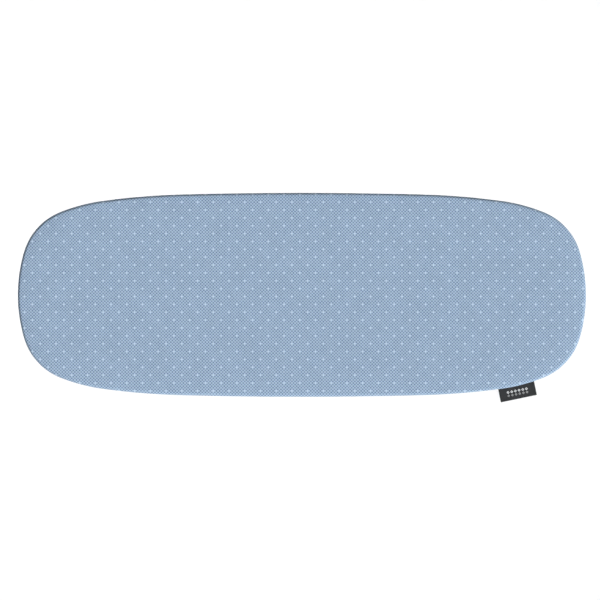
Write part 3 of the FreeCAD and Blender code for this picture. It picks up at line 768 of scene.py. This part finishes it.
def make_foam():
    """The pad, which the cover presses down a little and rounds at its upper edge."""
    low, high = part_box("foam_pad")
    inset = HALF_LENGTH - high.x
    z0, z1 = low.z, high.z - FOAM_PRESSED
    rows = []
    for step in range(FOAM_EDGE_STEPS + 1):
        turn = math.radians(90 * step / FOAM_EDGE_STEPS)
        back, down = (FOAM_EDGE_R * (1 - part) for part in (math.sin(turn), math.cos(turn)))
        rows.append(ring(inset + back, z1 - down))
    rows.append(ring(inset + FOAM_LEAN, z0))
    top = middle_rows(inset + FOAM_EDGE_R, lambda x, y: z1, PAD_ROWS)
    bottom = middle_rows(inset + FOAM_LEAN, lambda x, y: z0, PAD_ROWS)
    piece = loft("foam_slab", [*top[::-1], *rows, *bottom], FOAM)
    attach(piece, "board")
    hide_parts("foam_pad")


# ---- stitching ----------------------------------------------------------------------------------
STITCH_SIDES, STITCH_SPANS = 5, 4
# A stitch's thickness at its ends, and how far it rises at its middle and dips at its ends, as shares
# of its radius.
STITCH_END, STITCH_RISE, STITCH_DIP = 0.45, 0.9, 0.35
# Each seam: a stitch's share of its pitch, its radius, and where the row lies.
HEM_STITCH_SHARE, HEM_STITCH_R, HEM_STITCH_LIFT = 0.74, 0.26 * MM, 0.15 * MM
LABEL_STITCH_SHARE, LABEL_STITCH_R, LABEL_STITCH_IN = 0.76, 0.24 * MM, 2.0 * MM
LABEL_STITCH_PITCH = 2.6 * MM
LABEL_STITCH_DOWN = 1.3 * LABEL_LAYER_T


def stitch_row(name, places, length, radius):
    """Separate stitches, each a small capsule that dips into the cloth at its ends."""
    vertices, faces = [], []
    sides, spans = STITCH_SIDES, STITCH_SPANS
    for middle, along, up in places:
        across = along.cross(up).normalized()
        start = len(vertices)
        for j in range(spans + 1):
            share = j / spans
            lift = math.sin(math.pi * share)
            thick = radius * (STITCH_END + (1 - STITCH_END) * lift)
            height = radius * (lift * STITCH_RISE - STITCH_DIP)
            centre = middle + along * (length * (share - 0.5)) + up * height
            for i in range(sides):
                turn = 2 * math.pi * i / sides
                out, rise = thick * math.cos(turn), thick * math.sin(turn)
                vertices.append(centre + across * out + up * rise)
        faces += band_faces(spans + 1, sides, start)
        faces.append(tuple(start + i for i in range(sides))[::-1])
        faces.append(tuple(start + spans * sides + i for i in range(sides)))
    return mesh_object(name, vertices, faces, WHITE_THREAD)


def make_hem_stitching(seam):
    """A stitch for every two stations, along the seam that closes the elastic's tunnel."""
    places = []
    for k in range(0, AROUND, 2):
        here, there = seam[k], seam[(k + 2) % AROUND]
        along = (there - here).normalized()
        up = along.cross(STATIONS[k][1]).normalized()
        up = up if up.z < 0 else -up
        places.append((seam[k + 1] + up * HEM_STITCH_LIFT, along, up))
    pitch = 2 * PERIMETER / AROUND
    piece = stitch_row("hem_stitching", places, pitch * HEM_STITCH_SHARE, HEM_STITCH_R)
    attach(piece, "board")


def make_label_stitching():
    """One row near the label's inner edge, which holds it to the hem."""
    corner, along, outward, width, _ = LABEL_FRAME
    low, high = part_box("side_label")
    start = corner + outward * LABEL_STITCH_IN
    pitch = LABEL_STITCH_PITCH
    count = int(width / pitch) - 1
    margin = (width - (count - 1) * pitch) / 2
    z = (low.z + high.z) / 2 - LABEL_STITCH_DOWN
    places = []
    for k in range(count):
        middle = start + along * (margin + k * pitch)
        places.append((Vector((middle.x, middle.y, z)), along, Vector((0, 0, -1))))
    piece = stitch_row("label_stitching", places, pitch * LABEL_STITCH_SHARE, LABEL_STITCH_R)
    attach(piece, "board")


# ---- label --------------------------------------------------------------------------------------
LABEL_COLUMNS, LABEL_STEPS = 28, 22
# Shares of half a turn where the fold at the outer end has its rows.
LABEL_FOLD = (0.25, 0.5, 0.75)
# The free end droops past a share of the depth, and its width curls in a wave of this length and phase.
LABEL_DROOP, DROOP_FROM, DROOP_POWER = 0.9 * MM, 0.45, 1.5
LABEL_CURL, CURL_WAVE, CURL_PHASE = 0.35 * MM, 1.5, 0.5
# The layers are this close where they are sewn, as a share of their gap, and widest past their middle.
LABEL_CLOSED, PUFF_WAVE = 0.35, 0.9


def make_label():
    """One ribbon folded in half at its outer end, its two layers held together under the hem."""
    corner, along, outward, width, depth = LABEL_FRAME
    low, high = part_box("side_label")
    middle_z = (low.z + high.z) / 2
    gap = (high.z - low.z) / 2 - LABEL_LAYER_T
    columns, steps = LABEL_COLUMNS, LABEL_STEPS
    outs = [depth * step / steps for step in range(steps + 1)]
    path = [(out, 1.0) for out in outs]
    for turn in LABEL_FOLD:
        path.append((depth + gap * math.sin(math.pi * turn), math.cos(math.pi * turn)))
    path += [(out, -1.0) for out in outs[::-1]]
    vertices, uvs, faces = [], [], []
    flat = 0.0
    previous = None
    for out, side in path:
        if previous is not None:
            flat += math.hypot(out - previous[0], (side - previous[1]) * gap)
        previous = (out, side)
        share = out / depth
        droop = -LABEL_DROOP * max(0.0, share - DROOP_FROM) ** DROOP_POWER
        swell = math.sin(math.pi * min(1.0, share * PUFF_WAVE))
        puff = LABEL_CLOSED + (1 - LABEL_CLOSED) * swell
        for c in range(columns + 1):
            u = c / columns
            curl = LABEL_CURL * math.sin(math.pi * u * CURL_WAVE + CURL_PHASE) * share**2
            up = Vector((0, 0, middle_z + side * gap * puff + droop + curl))
            vertices.append(corner.xy.to_3d() + along * (width * u) + outward * out + up)
            uvs.append((width * u, flat - LABEL_UNDER))
    for r in range(len(path) - 1):
        for c in range(columns):
            a = r * (columns + 1) + c
            faces.append((a, a + 1, a + columns + 2, a + columns + 1))
    piece = mesh_object("side_label_ribbon", vertices, faces, label_material(), uvs)
    thicken(piece, LABEL_LAYER_T, offset=0)
    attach(piece, "board")
    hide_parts("side_label")


# ---- welds --------------------------------------------------------------------------------------
LEG_TUBE_R = 7.0 * MM
SHEET_T = 1.2 * MM
BEAD_R = 1.7 * MM
BEAD_ROWS, BEAD_SIDES = 96, 10
BEAD_RIPPLES, BEAD_RIPPLE, BEAD_UNEVEN = 15, 0.13, 0.10
# Spots in the cross rails: how far off the rail's middle, their step, how many each way, and how far
# to each side a leg bracket keeps them off. In the spine: the same without the brackets.
RAIL_SPOT_OFF, RAIL_SPOT_STEP, RAIL_SPOTS = 15 * MM, 32 * MM, 3
BRACKET_Y, BRACKET_KEEPS_OFF = 80 * MM, 24 * MM
SPINE_SPOT_OFF, SPINE_SPOT_STEP, SPINE_SPOTS = 20 * MM, 45 * MM, 5
# One spot, from its middle to under the sheet's face: radius and depth, in millimetres.
SPOT_PROFILE = (
    (0.0, 0.10),
    (1.6, 0.08),
    (2.1, 0.26),
    (2.7, 0.28),
    (3.2, 0.0),
    (3.2, -0.3),
    (0.0, -0.3),
)
SPOT_SIDES = 24


def weld_bead(name, body, middle, along_tube, across, brace_r, tube_y):
    """Rippled bead where a brace meets a leg tube: it follows the saddle between the two."""
    vertices = []
    inward = -math.copysign(1.0, tube_y)
    for i in range(BEAD_ROWS):
        turn = 2 * math.pi * i / BEAD_ROWS
        uneven = noise.noise(Vector((math.cos(turn), math.sin(turn), tube_y)) * 3)
        ripple = 1 + BEAD_RIPPLE * math.sin(BEAD_RIPPLES * turn) + BEAD_UNEVEN * uneven
        reach = BEAD_R * ripple
        sideways = brace_r * math.sin(turn)
        outward = along_tube * math.cos(turn) + across * math.sin(turn)
        saddle = tube_y + inward * math.sqrt(LEG_TUBE_R**2 - sideways**2)
        root = Vector((middle.x, saddle + inward * BEAD_R / 2, middle.z))
        root += outward * (brace_r + BEAD_R / 4)
        for j in range(BEAD_SIDES):
            swing = 2 * math.pi * j / BEAD_SIDES
            over = Vector((0, reach * math.sin(swing), 0))
            vertices.append(root + outward * (reach * math.cos(swing)) + over)
    faces = band_faces(BEAD_ROWS, BEAD_SIDES, joined=True)
    piece = mesh_object(name, vertices, faces, LEG_PAINT)
    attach(piece, body)


def make_brace_welds(side):
    """The two beads that hold a leg's brace to its tube."""
    low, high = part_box("leg_brace_" + side)
    tube_low, tube_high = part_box("leg_tube_" + side)
    fold = next(joint for joint in frame["joints"] if joint["name"] == "leg_" + side + "_fold")
    pivot = Vector(fold["pos_m"])
    middle = (low + high) / 2
    along_tube = Vector((middle.x - pivot.x, 0, middle.z - pivot.z)).normalized()
    across = Vector((along_tube.z, 0, -along_tube.x))
    for row, tube_y in (("front", tube_low.y + LEG_TUBE_R), ("back", tube_high.y - LEG_TUBE_R)):
        name = "brace_weld_" + side + "_" + row
        weld_bead(name, "leg_" + side, middle, along_tube, across, (high.x - low.x) / 2, tube_y)


def make_spot_welds():
    """Rings that the welding tips leave in the webs of the cross rails and of the spine."""
    places = []
    for side in SIDES:
        low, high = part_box("cross_rail_" + side)
        middle = (low.x + high.x) / 2
        for x in (middle - RAIL_SPOT_OFF, middle + RAIL_SPOT_OFF):
            for step in range(-RAIL_SPOTS, RAIL_SPOTS + 1):
                y = step * RAIL_SPOT_STEP
                if abs(abs(y) - BRACKET_Y) > BRACKET_KEEPS_OFF:
                    places.append(Vector((x, y, high.z - SHEET_T)))
    low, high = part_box("spine_channel")
    for step in range(-SPINE_SPOTS, SPINE_SPOTS + 1):
        for y in (-SPINE_SPOT_OFF, SPINE_SPOT_OFF):
            places.append(Vector((step * SPINE_SPOT_STEP, y, high.z - SHEET_T)))
    sides = SPOT_SIDES
    vertices, faces = [], []
    for place in places:
        start = len(vertices)
        for r, drop in SPOT_PROFILE:
            for i in range(sides):
                turn = 2 * math.pi * i / sides
                spot = Vector((r * math.cos(turn), r * math.sin(turn), -drop)) * MM
                vertices.append(place + spot)
        for j in range(len(SPOT_PROFILE) - 1):
            for i in range(sides):
                a, b = start + j * sides, start + (j + 1) * sides
                faces.append((a + i, b + i, b + (i + 1) % sides, a + (i + 1) % sides))
    piece = mesh_object("spot_welds", vertices, faces, FRAME_PAINT)
    weld(piece, 1e-6)
    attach(piece, "board")


# ---- stage --------------------------------------------------------------------------------------
# The picture's width at the board's top, and where the camera stands.
VIEW_WIDTH = 0.8766
CAMERA_HEIGHT = 6.0
CAMERA_PLACE = (-2.8 * MM, -7.5 * MM)
SENSOR_WIDTH = 36.0
STAGE_HALF = 30.0
AIM = Vector((0, 0, TOP))
LAMP_DISTANCE = 4.0


def make_camera():
    """A camera that looks straight down, as the photograph does."""
    data = bpy.data.cameras.new("camera")
    data.sensor_width = SENSOR_WIDTH
    data.lens = data.sensor_width * (CAMERA_HEIGHT - TOP) / VIEW_WIDTH
    data.clip_end = 4 * STAGE_HALF
    camera = bpy.data.objects.new("camera", data)
    camera.location = (*CAMERA_PLACE, CAMERA_HEIGHT)
    bpy.context.scene.collection.objects.link(camera)
    bpy.context.scene.camera = camera


def make_floor():
    """A pale sheet, seen from above only, so that the board's underside can be looked at too."""
    s = Shader("pale_floor", (0.90, 0.90, 0.90), 0.9)
    s.color(s.mix(s.ramp(s.noise(3.0, 2.0), 0.3, 0.7), (0.895, 0.897, 0.90), (0.905, 0.905, 0.905)))
    clear = s.node("BsdfTransparent").outputs[0]
    back = s.node("NewGeometry").outputs["Backfacing"]
    share = s.node("MixShader", {0: back, 1: s.bsdf.outputs[0], 2: clear})
    s.tree.links.new(share.outputs[0], s.tree.nodes["Material Output"].inputs["Surface"])
    half = STAGE_HALF
    corners = [(-half, -half, 0), (half, -half, 0), (half, half, 0), (-half, half, 0)]
    floor = mesh_object("floor", corners, [(0, 1, 2, 3)], s.material, smooth=False)
    floor.visible_diffuse = False
    return floor


def make_backdrop():
    """A pale room far round the board, which gives no light of its own to cloth or paint."""
    glow = (0.93, 0.93, 0.93, 1)
    s = Shader("pale_backdrop", (0, 0, 0), 1.0, Emission_Color=glow, Emission_Strength=1.0)
    work = bmesh.new()
    bmesh.ops.create_icosphere(work, subdivisions=4, radius=STAGE_HALF)
    mesh = bpy.data.meshes.new("backdrop")
    work.to_mesh(mesh)
    work.free()
    mesh.materials.append(s.material)
    room = bpy.data.objects.new("backdrop", mesh)
    bpy.context.scene.collection.objects.link(room)
    room.visible_diffuse = False
    room.visible_shadow = False


def add_sun(name, azimuth, elevation, power, angle=None, only=None, skip=None):
    """A distant lamp that faces the board's middle. Azimuth turns from +X towards +Y, in degrees.

    It lights only the object given as only, or everything but the object given as skip.
    """
    data = bpy.data.lights.new(name, "SUN")
    data.energy = power
    if angle is not None:
        data.angle = math.radians(angle)
    lamp = bpy.data.objects.new(name, data)
    a, e = math.radians(azimuth), math.radians(elevation)
    back = Vector((math.cos(e) * math.cos(a), math.cos(e) * math.sin(a), math.sin(e)))
    lamp.location = AIM + back * LAMP_DISTANCE
    lamp.rotation_mode = "QUATERNION"
    lamp.rotation_quaternion = back.to_track_quat("Z", "Y")
    lamp.visible_camera = False
    bpy.context.scene.collection.objects.link(lamp)
    if only is not None:
        shared = bpy.data.collections.new(name + "_lights")
        shared.objects.link(only)
        lamp.light_linking.receiver_collection = shared
        lamp.light_linking.blocker_collection = shared
    if skip is not None:
        spared = bpy.data.collections.new(name + "_spares")
        spared.objects.link(skip)
        spared.collection_objects[0].light_linking.link_state = "EXCLUDE"
        lamp.light_linking.receiver_collection = spared


def make_world(horizon, ground, sky):
    """Soft fill whose strength goes from ground, straight below, through horizon to sky."""
    world = bpy.data.worlds.new("studio")
    world.use_nodes = True
    tree = world.node_tree
    split = tree.nodes.new("ShaderNodeSeparateXYZ")
    tree.links.new(tree.nodes.new("ShaderNodeTexCoord").outputs["Generated"], split.inputs[0])
    ramp = tree.nodes.new("ShaderNodeValToRGB")
    ramp.color_ramp.elements.new(0.5)
    for stop, level in zip(ramp.color_ramp.elements, (ground, horizon, sky)):
        stop.color = (level, level, level, 1)
    height = tree.nodes.new("ShaderNodeMapRange")
    height.inputs["From Min"].default_value = -1.0
    tree.links.new(split.outputs["Z"], height.inputs["Value"])
    tree.links.new(height.outputs["Result"], ramp.inputs[0])
    tree.links.new(ramp.outputs["Color"], tree.nodes["Background"].inputs["Color"])
    bpy.context.scene.world = world


make_camera()
FLOOR = make_floor()
make_backdrop()
make_world(horizon=0.05, ground=0.75, sky=0.07)
add_sun("key", azimuth=-39, elevation=35, power=3.88, angle=10, skip=FLOOR)
add_sun("overhead", azimuth=0, elevation=90, power=0.45, angle=2.5)
add_sun("floor_wash", azimuth=0, elevation=90, power=2.85, only=FLOOR)
bpy.context.scene.view_settings.view_transform = "Standard"
# The print repeats every few pixels, and the denoiser keeps it evenly only from unfiltered colours.
bpy.context.scene.cycles.denoising_prefilter = "NONE"

finish_cad_nodes()
COVER_ROWS, SEAM_ROW = cover_rows()
make_cover(COVER_ROWS)
make_felt()
make_foam()
# The stitches run one row outside the seam.
make_hem_stitching(COVER_ROWS[SEAM_ROW - 1][0])
make_label()
make_label_stitching()
for side_name in SIDES:
    make_brace_welds(side_name)
make_spot_welds()
